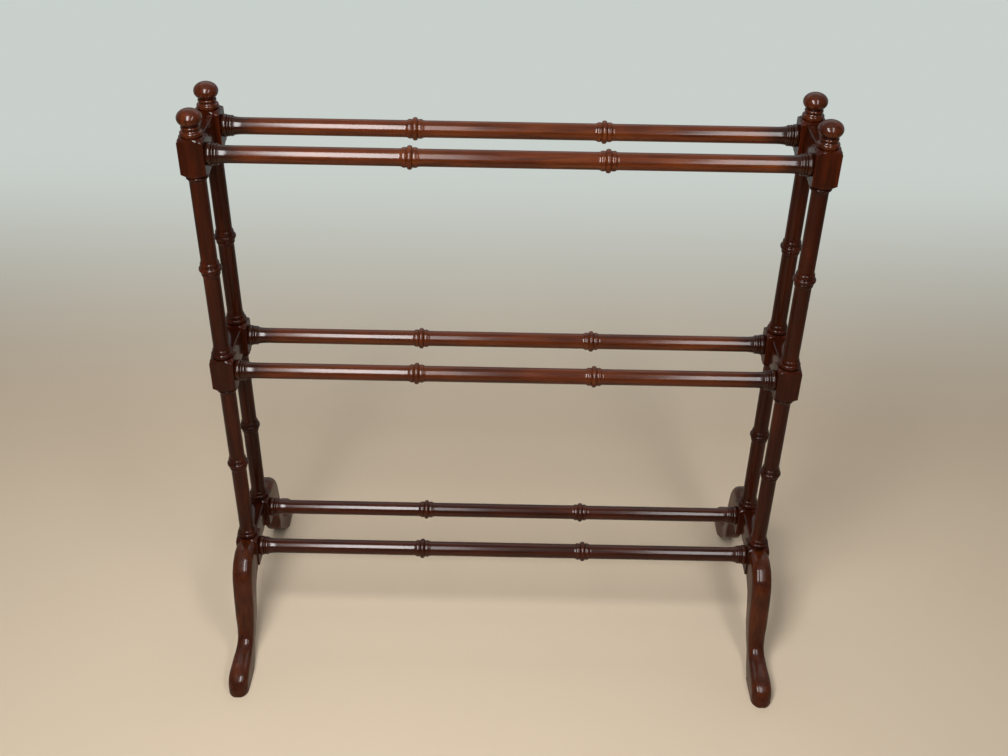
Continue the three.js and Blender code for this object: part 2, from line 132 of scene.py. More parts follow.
class RackSizes(bpy.types.PropertyGroup):
    """Sizes of the turned and sawn pieces."""

    rail_shaft: FloatProperty(
        name="Rail", description="Diameter of a rail between its beads",
        default=22 * MM, min=12 * MM, max=22 * MM, unit="LENGTH")
    post_shaft: FloatProperty(
        name="Post", description="Diameter of a post between its beads",
        default=22 * MM, min=12 * MM, max=22 * MM, unit="LENGTH")
    ring: FloatProperty(
        name="Ring bead", description="Diameter of the ring beads of rails and posts",
        default=30 * MM, min=26 * MM, max=30 * MM, unit="LENGTH")
    ring_spacing: FloatProperty(
        name="Ring spacing", description="Distance between the two ring beads of a rail",
        default=244 * MM, min=100 * MM, max=500 * MM, unit="LENGTH")
    block: FloatProperty(
        name="Block", description="Width of the square blocks of a post",
        default=32 * MM, min=28 * MM, max=32 * MM, unit="LENGTH")
    block_rise: FloatProperty(
        name="Block rise", description="Rail axis up to the top corners of its block",
        default=19.5 * MM, min=17 * MM, max=22 * MM, unit="LENGTH")
    block_drop: FloatProperty(
        name="Block drop", description="Rail axis down to the bottom corners of its block",
        default=22 * MM, min=18 * MM, max=24 * MM, unit="LENGTH")
    knob: FloatProperty(
        name="Knob", description="Diameter of a finial's knob",
        default=31.4 * MM, min=22 * MM, max=31.4 * MM, unit="LENGTH")
    foot_width: FloatProperty(
        name="Foot", description="Width of a foot at its post, its knee and its toe",
        default=29 * MM, min=20 * MM, max=29 * MM, unit="LENGTH")
    board_edge: FloatProperty(
        name="Board edge", description="Radius on the edges of a cross rail",
        default=1.6 * MM, min=0.3 * MM, max=4 * MM, unit="LENGTH")
    sides: IntProperty(
        name="Facets", description="Facets round a turned piece",
        default=96, min=24, max=160)


class RackFinish(bpy.types.PropertyGroup):
    """Stain and lacquer of the mahogany, and the paler colours of the top rails, which are painted
    light.
    """

    stain: FloatVectorProperty(
        name="Stain", description="Main colour of the posts and cross rails",
        subtype="COLOR", size=4, min=0, max=1, default=srgb("#2f0d02"))
    ribbon: FloatVectorProperty(
        name="Ribbon figure", description="Pale warm streaks of the posts and cross rails",
        subtype="COLOR", size=4, min=0, max=1, default=srgb("#451806"))
    # The top rails' colours are paler with painted light: lit copies of the stain and figure of the
    # posts
    lit_rail_stain: FloatVectorProperty(
        name="Rail stain", description="Main colour of the top rails, which took less of the stain",
        subtype="COLOR", size=4, min=0, max=1, default=srgb("#542309"))
    lit_rail_ribbon: FloatVectorProperty(
        name="Rail figure", description="Pale warm streaks of the top rails",
        subtype="COLOR", size=4, min=0, max=1, default=srgb("#64300e"))
    heart: FloatVectorProperty(
        name="Heartwood", description="Dark streaks of the wood",
        subtype="COLOR", size=4, min=0, max=1, default=srgb("#1c0802"))
    # Dark colour of the pores, and of the turned grooves, which darken by their depth
    glaze: FloatVectorProperty(
        name="Glaze", description="Dark glaze left in the turned grooves",
        subtype="COLOR", size=4, min=0, max=1, default=srgb("#120502"))
    lacquer: FloatProperty(
        name="Lacquer", description="Share of a full gloss coat on rails, cross rails and finials",
        subtype="FACTOR", default=0.45, min=0, max=1)
    foot_lacquer: FloatProperty(
        name="Lacquer on feet", description="Share of a full gloss coat on the feet",
        subtype="FACTOR", default=0.38, min=0, max=1)
    post_lacquer: FloatProperty(
        name="Lacquer on posts", description="Share of a full gloss coat on the posts",
        subtype="FACTOR", default=0.28, min=0, max=1)
    lacquer_roughness: FloatProperty(
        name="Lacquer roughness", description="Roughness of the clear top coat",
        subtype="FACTOR", default=0.14, min=0, max=1)


class RackStage(bpy.types.PropertyGroup):
    """Floor and light."""

    floor: FloatVectorProperty(
        name="Floor", description="Colour of the floor",
        subtype="COLOR", size=4, min=0, max=1, default=srgb("#cfbca3"))
    backdrop: FloatVectorProperty(
        name="Backdrop", description="Pale colour that the floor runs out into behind the rack",
        subtype="COLOR", size=4, min=0, max=1, default=srgb("#c9d0cb"))
    room: FloatVectorProperty(
        name="Room", description="Colour of the room round the rack",
        subtype="COLOR", size=4, min=0, max=1, default=srgb("#eef0f0"))
    room_light: FloatProperty(
        name="Room light", description="Strength of the light from the room in front of the rack",
        default=0.04, min=0, max=2)
    back_light: FloatProperty(
        name="Back light", description="Strength of the light from the room behind the rack",
        default=0.38, min=0, max=2)
    ceiling_light: FloatProperty(
        name="Ceiling light", description="Strength of the light from the ceiling",
        default=0.1, min=0, max=2)
    room_sheen: FloatProperty(
        name="Room sheen", description="Paleness of the room in front, seen or reflected",
        subtype="FACTOR", default=0.3, min=0, max=1)
    back_sheen: FloatProperty(
        name="Back sheen", description="Paleness of the room behind, seen or reflected",
        subtype="FACTOR", default=0.6, min=0, max=1)
    ceiling_sheen: FloatProperty(
        name="Ceiling sheen", description="Paleness of the ceiling, seen or reflected",
        subtype="FACTOR", default=0.8, min=0, max=1)
    lamp_power: FloatProperty(
        name="Lamp", description="Power of the left lamp in watts",
        default=29.8, min=0, max=200)
    strip_power: FloatProperty(
        name="Strip", description="Power in watts of the left strip, which only the lacquer shows",
        default=41.4, min=0, max=200)
    back_lamp_power: FloatProperty(
        name="Lamp behind", description="Power in watts of the wide lamp over the floor behind",
        default=20.0, min=0, max=200)


# Turned work: a profile is a list of (radius, station) pairs in millimetres along its axis

def bead(start, width, flank, crown, steps=12):
    """Half-round bead on a cylinder of the flank's radius."""
    angles = [math.pi * i / steps for i in range(steps + 1)]
    return [(flank + (crown - flank) * math.sin(a), start + width * (1 - math.cos(a)) / 2)
            for a in angles]


def cove(wide_station, wide, narrow_station, narrow, steps=10):
    """Hollow that leaves the wide end steeply and runs out along the narrow one."""
    run = narrow_station - wide_station
    angles = [math.pi / 2 * i / steps for i in range(steps + 1)]
    return [(narrow + (wide - narrow) * (1 - math.sin(a)), wide_station + run * (1 - math.cos(a)))
            for a in angles]


def mirrored(profile, centre=0.0):
    """The profile turned end for end about a station."""
    return [(r, 2 * centre - z) for r, z in reversed(profile)]


def ring(centre, shaft, crown):
    """Ring bead with a low bead and a short flare on either side."""
    beside = [
        *bead(centre + 3.8, 5.4, 12.0, 12.65, 8),
        *cove(centre + 9.4, 12.0, centre + 13.5, shaft, 8),
    ]
    return [*mirrored(beside, centre), *bead(centre - 3.5, 7.0, 12.2, crown, 16), *beside]


def profile_mesh(name, profile):
    """Polyline of a profile, with how far the groove that each point lies in darkens it, by its
    depth.
    """
    radii = np.array([r for r, _ in profile])
    stations = np.array([z for _, z in profile])
    mesh = bpy.data.meshes.new(name)
    points = [(r * MM, 0, z * MM) for r, z in profile]
    mesh.from_pydata(points, [(i, i + 1) for i in range(len(points) - 1)], [])
    groove = mesh.attributes.new("groove", "FLOAT", "POINT")
    for i, (radius, station) in enumerate(profile):
        before = radii[(stations >= station - GROOVE_REACH) & (stations <= station)].max()
        after = radii[(stations >= station) & (stations <= station + GROOVE_REACH)].max()
        depth = min(before, after) - radius
        groove.data[i].value = float(np.clip(depth / GROOVE_DEPTH, 0, 1))
    return mesh


# The sums of the turning tree: a name, the operation, and names or numbers that it works on.
# Columns crowd towards the corners of the square blank, so that its edges come out crisp, and
# the blank cuts off what stands outside it
TURNING_SUMS = (
    ("swept", "MULTIPLY", "column", math.tau),
    ("even", "DIVIDE", "swept", "sides"),
    ("quarter", "MULTIPLY", "even", 4.0),
    ("wave", "SINE", "quarter"),
    ("shift", "MULTIPLY", "wave", "crowding"),
    ("angle", "ADD", "even", "shift"),
    ("cosine", "COSINE", "angle"),
    ("sine", "SINE", "angle"),
    ("across", "ABSOLUTE", "cosine"),
    ("deep", "ABSOLUTE", "sine"),
    ("across_part", "POWER", "across", CORNER_POWER),
    ("deep_part", "POWER", "deep", CORNER_POWER),
    ("parts", "ADD", "across_part", "deep_part"),
    ("square", "POWER", "parts", 1 / CORNER_POWER),
    ("half", "MULTIPLY", "blank", 0.5),
    ("reach", "DIVIDE", "half", "square"),
    ("kept", "MINIMUM", "radius", "reach"),
    ("x", "MULTIPLY", "kept", "cosine"),
    ("y", "MULTIPLY", "kept", "sine"),
)


def turning_tree():
    """Node tree that turns a profile round its axis inside a square blank."""
    tree = bpy.data.node_groups.new("turned_work", "GeometryNodeTree")
    for name, kind in (("Profile", "Geometry"), ("Sides", "Int"), ("Blank Width", "Float"),
                       ("Corner Crowding", "Float"), ("Finish", "Material")):
        tree.interface.new_socket(name, in_out="INPUT", socket_type="NodeSocket" + kind)
    tree.interface.new_socket("Turned Work", in_out="OUTPUT", socket_type="NodeSocketGeometry")
    given = add(tree, "NodeGroupInput").outputs
    profile, sides = given["Profile"], given["Sides"]

    # A grid with a row for each point of the profile and a column for each side
    rows = add(tree, "GeometryNodeAttributeDomainSize", {"component": "MESH"},
               {"Geometry": profile}).outputs["Point Count"]
    columns = add(tree, "FunctionNodeIntegerMath", {"operation": "ADD"}, [sides, 1]).outputs[0]
    grid = add(tree, "GeometryNodeMeshGrid", None,
               {"Vertices X": columns, "Vertices Y": rows}).outputs["Mesh"]
    index = add(tree, "GeometryNodeInputIndex").outputs[0]
    row = add(tree, "FunctionNodeIntegerMath", {"operation": "MODULO"}, [index, rows]).outputs[0]
    column = add(tree, "FunctionNodeIntegerMath", {"operation": "DIVIDE_FLOOR"},
                 [index, rows]).outputs[0]

    # What the profile holds at that row
    place = add(tree, "GeometryNodeInputPosition").outputs[0]
    point = add(tree, "GeometryNodeSampleIndex", {"data_type": "FLOAT_VECTOR", "domain": "POINT"},
                {"Geometry": profile, "Value": place, "Index": row}).outputs["Value"]
    held = add(tree, "GeometryNodeInputNamedAttribute", {"data_type": "FLOAT"},
               {"Name": "groove"}).outputs[0]
    groove = add(tree, "GeometryNodeSampleIndex", {"data_type": "FLOAT", "domain": "POINT"},
                 {"Geometry": profile, "Value": held, "Index": row}).outputs["Value"]
    radius, _, station = add(tree, "ShaderNodeSeparateXYZ", None, [point]).outputs

    known = {"column": column, "sides": sides, "crowding": given["Corner Crowding"],
             "blank": given["Blank Width"], "radius": radius}
    for name, operation, *values in TURNING_SUMS:
        known[name] = add(tree, "ShaderNodeMath", {"operation": operation},
                          [known.get(value, value) for value in values]).outputs[0]
    spot = add(tree, "ShaderNodeCombineXYZ", None, [known["x"], known["y"], station]).outputs[0]

    work = add(tree, "GeometryNodeSetPosition", None,
               {"Geometry": grid, "Position": spot}).outputs[0]
    work = add(tree, "GeometryNodeStoreNamedAttribute", {"data_type": "FLOAT", "domain": "POINT"},
               {"Geometry": work, "Name": "groove", "Value": groove}).outputs[0]
    # The seam and the poles close
    work = add(tree, "GeometryNodeMergeByDistance", None,
               {"Geometry": work, "Distance": 0.01 * MM}).outputs[0]
    work = add(tree, "GeometryNodeRealizeInstances", None, {"Geometry": work}).outputs[0]
    work = add(tree, "GeometryNodeSetMaterial", None,
               {"Geometry": work, "Material": given["Finish"]}).outputs[0]
    add(tree, "NodeGroupOutput", None, {"Turned Work": work})
    return tree


def plain_mesh(holder, name):
    """The evaluated mesh of an object as a mesh of its own; the object goes."""
    graph = bpy.context.evaluated_depsgraph_get()
    mesh = bpy.data.meshes.new_from_object(holder.evaluated_get(graph))
    holder.modifiers.clear()
    bpy.data.objects.remove(holder)
    mesh.name = name
    return mesh


def facing_out(mesh):
    """Faces outwards, shaded smooth but for sharp edges."""
    form = bmesh.new()
    form.from_mesh(mesh)
    bmesh.ops.recalc_face_normals(form, faces=form.faces)
    if form.calc_volume(signed=True) < 0:
        bmesh.ops.reverse_faces(form, faces=form.faces)
    form.to_mesh(mesh)
    form.free()
    mesh.shade_smooth()
    mesh.set_sharp_from_angle(angle=SMOOTH_ANGLE)
    return mesh


def turned(name, profile, sides, finish, blank=1.0, crowding=0.0):
    """Mesh of a turned piece along z, made by the turning tree.

    The blank's width is in metres, and one of a metre cuts nothing off.
    """
    holder = bpy.data.objects.new(name, profile_mesh(name, profile))
    bpy.context.scene.collection.objects.link(holder)
    tree = bpy.data.node_groups.get("turned_work") or turning_tree()
    lathe = holder.modifiers.new("turned_work", "NODES")
    lathe.node_group = tree
    values = {"Sides": sides, "Blank Width": blank, "Corner Crowding": crowding, "Finish": finish}
    for socket in tree.interface.items_tree:
        if socket.in_out == "INPUT" and socket.name in values:
            lathe[socket.identifier] = values[socket.name]
    return facing_out(plain_mesh(holder, name))


def piece(name, mesh, place, nodes):
    """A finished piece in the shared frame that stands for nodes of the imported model."""
    mesh.transform(place)
    thing = bpy.data.objects.new(name, mesh)
    bpy.context.scene.collection.objects.link(thing)
    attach(thing, "root")
    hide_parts(*nodes)
    return thing


# Materials

# Noise along the grain: width of its features in mm, how much longer they are than wide,
# detail and roughness
GRAIN = {
    "ribbon": (12, 9, 3, 0.5),  # gives figure about 8 mm wide and 90 mm long
    "streak": (5, 14, 4, 0.5),  # about 4 mm by 60 mm
    "cloud": (45, 2, 2, 0.5),
    "pores": (0.9, 14, 2, 0.6),  # 0.4 mm by 6 mm; real ones are finer, these as fine as shows
    "ripple": (16, 3, 2, 0.5),  # the lacquer's own unevenness
}


def mahogany(name, turn, paleness_and_painted_light, end_shade, lacquer, finish):
    """Mahogany, stained dark red-brown, darker in its turned grooves and sprayed with gloss
    lacquer.

    The stain leaves the ribbon figure showing as warm and dark streaks along the grain, and
    the thick clear coat gives long soft highlights with a faint unevenness. The rails are
    paler by painted light, and darker at their ends by painted shade.
    """
    if name in bpy.data.materials:
        return bpy.data.materials[name]
    material = bpy.data.materials.new(name)
    material.use_nodes = True
    tree = material.node_tree
    tree.nodes.clear()
    spot = add(tree, "ShaderNodeTexCoord").outputs["Object"]
    along = add(tree, "ShaderNodeMapping", None, {"Vector": spot, "Rotation": turn}).outputs[0]

    given = {}
    for key, (width, stretch, detail, roughness) in GRAIN.items():
        drawn = add(tree, "ShaderNodeMapping", None,
                    {"Vector": along, "Scale": (1 / stretch, 1, 1)}).outputs[0]
        given[key] = add(tree, "ShaderNodeTexNoise", None, {
            "Vector": drawn, "Scale": 1 / (width * MM), "Detail": detail,
            "Roughness": roughness}).outputs["Fac"]
    given["groove"] = add(tree, "ShaderNodeAttribute", {"attribute_name": "groove"}).outputs["Fac"]
    # How far out along x a point lies, for the painted shade at the rails' ends
    side = add(tree, "ShaderNodeSeparateXYZ", None, [spot]).outputs["X"]
    given["end"] = add(tree, "ShaderNodeMath", {"operation": "ABSOLUTE"}, [side]).outputs[0]

    # Shades laid over the stain in turn: the levels of the pattern between which each comes up,
    # and its share. The last is painted shade, which takes the pale rails down to the darkness of
    # the posts at their ends by the blocks
    # The paler stain and figure of the rails are painted light
    pale = tuple(Vector(finish.ribbon).lerp(Vector(finish.lit_rail_ribbon), paleness_and_painted_light))
    heart, glaze = tuple(finish.heart), tuple(finish.glaze)
    shades = (
        ("ribbon", 0.42, 0.72, pale, 0.8),
        ("streak", 0.46, 0.74, heart, 0.6),
        ("cloud", 0.35, 0.70, heart, 0.4),
        ("pores", 0.60, 0.72, glaze, 0.3),
        # The turned grooves darken by their depth
        ("groove", 0.1, 0.9, glaze, 0.8),
        ("end", 318 * MM, 350 * MM, heart, end_shade),
    )
    color = tuple(Vector(finish.stain).lerp(Vector(finish.lit_rail_stain), paleness_and_painted_light))
    risen = {}
    for key, low, high, shade, share in shades:
        risen[key] = add(tree, "ShaderNodeMapRange", {"interpolation_type": "SMOOTHSTEP"}, {
            "Value": given[key], "From Min": low, "From Max": high}).outputs["Result"]
        part = add(tree, "ShaderNodeMath", {"operation": "MULTIPLY"},
                   [risen[key], share]).outputs[0]
        color = add(tree, "ShaderNodeMix", {"data_type": "RGBA"},
                    {0: part, 6: color, 7: shade}).outputs[2]

    # The lacquer sags and ripples by a few hundredths of a millimetre every 15 mm or so
    ripple = add(tree, "ShaderNodeBump", None, {
        "Height": given["ripple"], "Strength": 0.16, "Distance": 0.35 * MM}).outputs[0]
    grain = add(tree, "ShaderNodeBump", None, {
        "Height": risen["pores"], "Strength": 0.1, "Distance": 0.05 * MM,
        "Normal": ripple}).outputs[0]
    sheen = add(tree, "ShaderNodeMapRange", None, {
        "Value": risen["cloud"], "To Min": 0.36, "To Max": 0.46}).outputs["Result"]
    # The wood under the lacquer hardly reflects, because both bend light nearly alike
    shader = add(tree, "ShaderNodeBsdfPrincipled", None, {
        "Base Color": color, "Roughness": sheen, "Normal": grain, "IOR": 1.5,
        "Specular IOR Level": 0.02, "Coat Weight": lacquer,
        "Coat Roughness": finish.lacquer_roughness, "Coat IOR": 1.5, "Coat Normal": ripple})
    add(tree, "ShaderNodeOutputMaterial", None, {"Surface": shader.outputs[0]})
    return material


def wood(grain, paleness_and_painted_light=0.0, coat="lacquer"):
    """Lacquered mahogany whose grain runs along x, y or z, with one of the finish's coats.

    At 1 it is as pale as the top rails, paler by painted light. Only the rails are darkened at
    their ends, by painted shade.
    """
    finish = bpy.context.scene.rack_finish
    name = f"mahogany_gloss_{coat}_{grain}_{round(paleness_and_painted_light * 100)}"
    end_shade = END_SHADE * paleness_and_painted_light if grain == "x" else 0.0
    return mahogany(name, GRAIN_TURNS[grain], paleness_and_painted_light, end_shade, getattr(finish, coat), finish)


def dowel_birch():
    """Birch dowel rod, cut and left bare: pale, close-grained and dull, with fine lines."""
    material = bpy.data.materials.new("birch_dowel_rod")
    material.use_nodes = True
    tree = material.node_tree
    tree.nodes.clear()
    spot = add(tree, "ShaderNodeTexCoord").outputs["Object"]
    # Lines 0.8 mm apart and about 10 mm long, along the dowels
    drawn = add(tree, "ShaderNodeMapping", None, {"Vector": spot, "Scale": (1, 0.08, 1)}).outputs[0]
    lines = add(tree, "ShaderNodeTexNoise", None,
                {"Vector": drawn, "Scale": 1 / (0.8 * MM), "Detail": 3.0}).outputs["Fac"]
    color = add(tree, "ShaderNodeMix", {"data_type": "RGBA"},
                {0: lines, 6: srgb("#c9a877"), 7: srgb("#a98554")}).outputs[2]
    bump = add(tree, "ShaderNodeBump", None,
               {"Height": lines, "Strength": 0.3, "Distance": 0.1 * MM}).outputs[0]
    shader = add(tree, "ShaderNodeBsdfPrincipled", None,
                 {"Base Color": color, "Roughness": 0.7, "Normal": bump})
    add(tree, "ShaderNodeOutputMaterial", None, {"Surface": shader.outputs[0]})
    return material


# Profiles of the turned pieces

def rail_profile(sizes, length):
    """A rail from tenon to tenon: two ring beads, long flares and three beads at each end."""
    shaft, crown = sizes.rail_shaft / MM / 2, sizes.ring / MM / 2
    end = length / 2
    half = [
        *ring(sizes.ring_spacing / MM / 2, shaft, crown),
        *mirrored(cove(14.0 - end, 12.7, 28.0 - end, shaft, 14)),  # long flare
        (12.4, end - 13.8),
        *mirrored(bead(9.7 - end, 3.9, 12.9, 13.6, 8)),
        *mirrored(bead(6.9 - end, 2.7, 13.0, 13.9, 8)),
        (12.9, end - 6.65),
        *mirrored(bead(0.2 - end, 6.2, 13.5, 14.75)),  # bead that butts on the block
        (TENON_RADIUS, end),
        (TENON_RADIUS, end + TENON_LENGTH),
        (0.0, end + TENON_LENGTH),
    ]
    return mirrored(half) + half


def block_corner(sizes):
    """Radius at which a block's profile stands clear of its corners."""
    return sizes.block / MM / 2 * math.sqrt(2) + CORNER_MARGIN


def shoulder(corner, level, direction):
    """Slope from the corners of a block to the middles of its faces, and on to a shallow neck."""
    run = [(corner, -0.4), (corner - 0.6, 0.0), (19.3, 1.9), (16.0, 4.0), (14.9, 4.6)]
    run = [(r, level + direction * step) for r, step in run]
    return run if direction > 0 else run[::-1]


def post_bay(sizes, lower, upper):
    """Turned stretch of a post from the top of one block to the underside of the next."""
    shaft, crown = sizes.post_shaft / MM / 2, sizes.ring / MM / 2
    corner = block_corner(sizes)
    foot = lower + sizes.block_rise / MM
    head = upper - sizes.block_drop / MM
    return [
        *shoulder(corner, foot, 1)[:-1],
        (12.7, foot + 4.5),
        *bead(foot + 4.7, 7.1, 12.7, 15.0, 14),  # collar bead
        *bead(foot + 12.2, 4.6, 12.0, 12.75, 8),
        *cove(foot + 17.0, 12.0, foot + 26.0, shaft),
        *ring((lower + upper) / 2, shaft, crown),
        *mirrored(cove(9.6 - head, 13.1, 16.0 - head, shaft)),
        *mirrored(bead(6.2 - head, 3.3, 13.3, 14.2, 8)),  # bead under the next block
        (13.5, head - 6.0),
        *shoulder(corner, head, -1),
    ]


def post_profile(sizes, heights, end, top):
    """A post from its sawn end to the seat of its finial."""
    corner = block_corner(sizes)
    lower, centre, upper = (heights[level] for level in LEVELS)
    return [
        (0.0, end),
        (corner, end),
        *post_bay(sizes, lower, centre),
        *post_bay(sizes, centre, upper),
        *shoulder(corner, upper + sizes.block_rise / MM, 1)[:-1],
        (15.0, top),
        (0.0, top),
    ]


def finial_profile(sizes):
    """A finial from its spigot up: base bead, lip bead, neck and flattened knob."""
    half, height, neck, base = sizes.knob / MM / 2, 20.6, 9.75, 13.4
    start = math.asin(neck / half)
    knob = []
    for angle in np.linspace(start, math.pi, 26):
        rise = (math.cos(start) - math.cos(angle)) / (1 + math.cos(start))
        knob.append((half * math.sin(angle), base + height * rise))
    knob[-1] = (0.0, base + height)
    return [
        (0.0, -SPIGOT_LENGTH),
        (SPIGOT_RADIUS, -SPIGOT_LENGTH),
        (SPIGOT_RADIUS, 0.0),
        *bead(0.0, 6.0, 13.0, 14.25),  # base bead
        *cove(6.0, 13.0, 9.0, 11.0, 6)[1:],
        *bead(9.1, 3.4, 11.0, 12.0, 8),  # lip bead
        (9.9, 12.8),
        *knob,
    ]


# Operators, one for each group of like pieces

class TurnRails(bpy.types.Operator):
    """Turn the six rails with their ring beads, beaded ends and tenons"""

    bl_idname = "quilt_rack.turn_rails"
    bl_label = "Turn the rails"

    def execute(self, context):
        sizes = context.scene.rack_sizes
        for level in LEVELS:
            for face in FACES:
                node = f"rail_{level}_{face}"
                low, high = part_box(node)
                profile = rail_profile(sizes, (high.x - low.x) / MM - 2 * TENON_LENGTH)
                # The rails of each level get their painted light and shade here
                mesh = turned(node + "_turned", profile, sizes.sides,
                              wood("x", RAIL_PAINTED_LIGHT[level]))
                place = Matrix.Translation(middle(node)) @ Matrix.Rotation(math.pi / 2, 4, "Y")
                piece(node + "_turned", mesh, place, [node])
        return {"FINISHED"}


class TurnPosts(bpy.types.Operator):
    """Turn the four posts between their square blocks"""

    bl_idname = "quilt_rack.turn_posts"
    bl_label = "Turn the posts"

    def execute(self, context):
        sizes = context.scene.rack_sizes
        heights = {level: middle(f"rail_{level}_front").z / MM for level in LEVELS}
        for face in FACES:
            for side in SIDES:
                node = f"post_{face}_{side}"
                low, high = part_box(node)
                centre = middle(node)
                profile = post_profile(sizes, heights, low.z / MM, high.z / MM)
                mesh = turned(node + "_turned", profile, sizes.sides,
                              wood("z", 0.0, "post_lacquer"), sizes.block, CORNER_CROWDING)
                place = Matrix.Translation((centre.x, centre.y, 0))
                piece(node + "_turned", mesh, place, [node])
        return {"FINISHED"}


class TurnFinials(bpy.types.Operator):
    """Turn the four finials"""

    bl_idname = "quilt_rack.turn_finials"
    bl_label = "Turn the finials"

    def execute(self, context):
        sizes = context.scene.rack_sizes
        for face in FACES:
            for side in SIDES:
                node = f"finial_{face}_{side}"
                low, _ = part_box(node)
                centre = middle(node)
                mesh = turned(node + "_turned", finial_profile(sizes), sizes.sides,
                              wood("z", FINIAL_PALENESS))
                place = Matrix.Translation((centre.x, centre.y, low.z + SPIGOT_LENGTH * MM))
                piece(node + "_turned", mesh, place, [node])
        return {"FINISHED"}


class PlaneCrossRails(bpy.types.Operator):
    """Plane the six cross rails and ease their edges"""

    bl_idname = "quilt_rack.plane_cross_rails"
    bl_label = "Plane the cross rails"

    def execute(self, context):
        sizes = context.scene.rack_sizes
        for side in SIDES:
            for level in LEVELS:
                node = f"cross_rail_{side}_{level}"
                low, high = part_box(node)
                size = high - low
                form = bmesh.new()
                bmesh.ops.create_cube(form, size=1.0, matrix=Matrix.Diagonal((*size, 1)))
                long_edges = [edge for edge in form.edges
                              if abs((edge.verts[0].co - edge.verts[1].co).y) > size.y / 2]
                bmesh.ops.bevel(form, geom=long_edges, offset=sizes.board_edge, segments=5,
                                profile=0.5, affect="EDGES")
                mesh = bpy.data.meshes.new(node + "_board")
                form.to_mesh(mesh)
                form.free()
                mesh.materials.append(wood("y"))
                piece(node + "_board", facing_out(mesh), Matrix.Translation(middle(node)), [node])
        return {"FINISHED"}


def spline(points, count):
    """Points evenly along a Catmull-Rom curve through the given ones."""
    padded = np.array([points[0], *points, points[-1]], float)
    result = []
    for t in np.linspace(0, len(points) - 1, count):
        i = min(int(t), len(points) - 2)
        w = t - i
        a, b, c, d = padded[i:i + 4]
        start, end = (c - a) / 2, (d - b) / 2
        cubic = 2 * b - 2 * c + start + end
        square = -3 * b + 3 * c - 2 * start - end
        result.append(cubic * w ** 3 + square * w ** 2 + start * w + b)
    return np.array(result)


def foot_mesh(full, top, bottom, reach):
    """Foot that grows along +y from the origin: sawn S-curve, rounded over, with a rounded toe.

    Its sizes are in mm: full width, top and bottom of its face on the block, reach of its toe.
    """
    upper = spline([
        (0, top), (21, top), (41, top - 9.5),  # joint, crest, brow
        (55.5, top - 31.5), (69.5, 78), (76.5, 51.5),  # knee, shin, instep
        (92, 36), (reach - 19.5, 29.5), (reach - 3.9, 14.75), (reach, 3.7),  # ankle, toe, tip
    ], FOOT_RIBS)
    lower = spline([
        (0, bottom), (6.75, bottom - 5.25), (16.2, bottom - 10.5),  # joint, its hollow
        (27, bottom - 21), (39.5, 65), (47.5, 43),  # ham, calf, hollow behind the instep
        (65, 24.5), (100, 0), (reach - 19.5, 0), (reach - 0.4, 0),  # heel, sole
    ], FOOT_RIBS)
    # How much narrower than full it is at each of those points: waisted from shin to ankle
    waist = spline([(0,), (0,), (0,), (0,), (1,), (4,), (5,), (0,), (0,), (0,)], FOOT_RIBS)
    upper_arc, lower_arc = (np.linspace(0, math.pi / 2, steps) for steps in (11, 6))
    loops = []
    for high, low, (narrowing,) in zip(upper, lower, waist):
        low[1] = max(low[1], 0)
        width = full - narrowing
        across = high - low
        depth = np.linalg.norm(across)
        across /= depth
        centre = (high + low) / 2
        over = min(FOOT_ROUNDING, width / 2, depth / 2)
        ease = min(FOOT_EASING if low[1] > 0 else SOLE_EASING, depth / 4)
        section = []
        for side in (1, -1):
            for angle in upper_arc[::side]:
                section.append((side * (width / 2 - over + over * math.cos(angle)),
                                depth / 2 - over + over * math.sin(angle)))
        for side in (-1, 1):
            for angle in lower_arc[::-side]:
                section.append((side * (width / 2 - ease + ease * math.cos(angle)),
                                -depth / 2 + ease - ease * math.sin(angle)))
        loop = []
        for u, v in section:
            out, height = centre + across * v
            nose = min(max((out - reach + TOE_ROUND) / TOE_ROUND, 0), 1)
            kept = TOE_TIP / full + (1 - TOE_TIP / full) * math.sqrt(1 - nose * nose)
            loop.append((u * kept * MM, out * MM, max(height, 0) * MM))
        loops.append(loop)
    count = len(loops[0])
    faces = [(i * count + j, i * count + (j + 1) % count,
              (i + 1) * count + (j + 1) % count, (i + 1) * count + j)
             for i in range(len(loops) - 1) for j in range(count)]
    faces += [tuple(range(count)), tuple(range((len(loops) - 1) * count, len(loops) * count))]
    mesh = bpy.data.meshes.new("foot")
    mesh.from_pydata([p for loop in loops for p in loop], [], faces)
    form = bmesh.new()
    form.from_mesh(mesh)
    bmesh.ops.remove_doubles(form, verts=form.verts, dist=0.02 * MM)
    form.to_mesh(mesh)
    form.free()
    return mesh


class ShapeFeet(bpy.types.Operator):
    """Saw and round the four curved feet"""

    bl_idname = "quilt_rack.shape_feet"
    bl_label = "Shape the feet"

    def execute(self, context):
        sizes = context.scene.rack_sizes
        level = middle("rail_lower_front").z / MM
        for face in FACES:
            for side in SIDES:
                node = f"foot_{face}_{side}"
                low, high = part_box(node)
                mesh = foot_mesh(sizes.foot_width / MM, level + FOOT_JOINT / 2,
                                 level - FOOT_JOINT / 2, (high.y - low.y) / MM)
                mesh.materials.append(wood("z", FOOT_PALENESS, "foot_lacquer"))
                outward, start = (0, low.y) if face == "back" else (math.pi, high.y)
                place = Matrix.Translation((middle(node).x, start, 0))
                piece(node + "_shaped", facing_out(mesh),
                      place @ Matrix.Rotation(outward, 4, "Z"), [node])
        return {"FINISHED"}


class CutDowels(bpy.types.Operator):
    """Give the hidden dowels their bare birch"""

    bl_idname = "quilt_rack.cut_dowels"
    bl_label = "Cut the dowels"

    def execute(self, context):
        birch = dowel_birch()
        for name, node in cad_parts.items():
            if "dowel" in name:
                node.data.materials.clear()
                node.data.materials.append(birch)
        return {"FINISHED"}


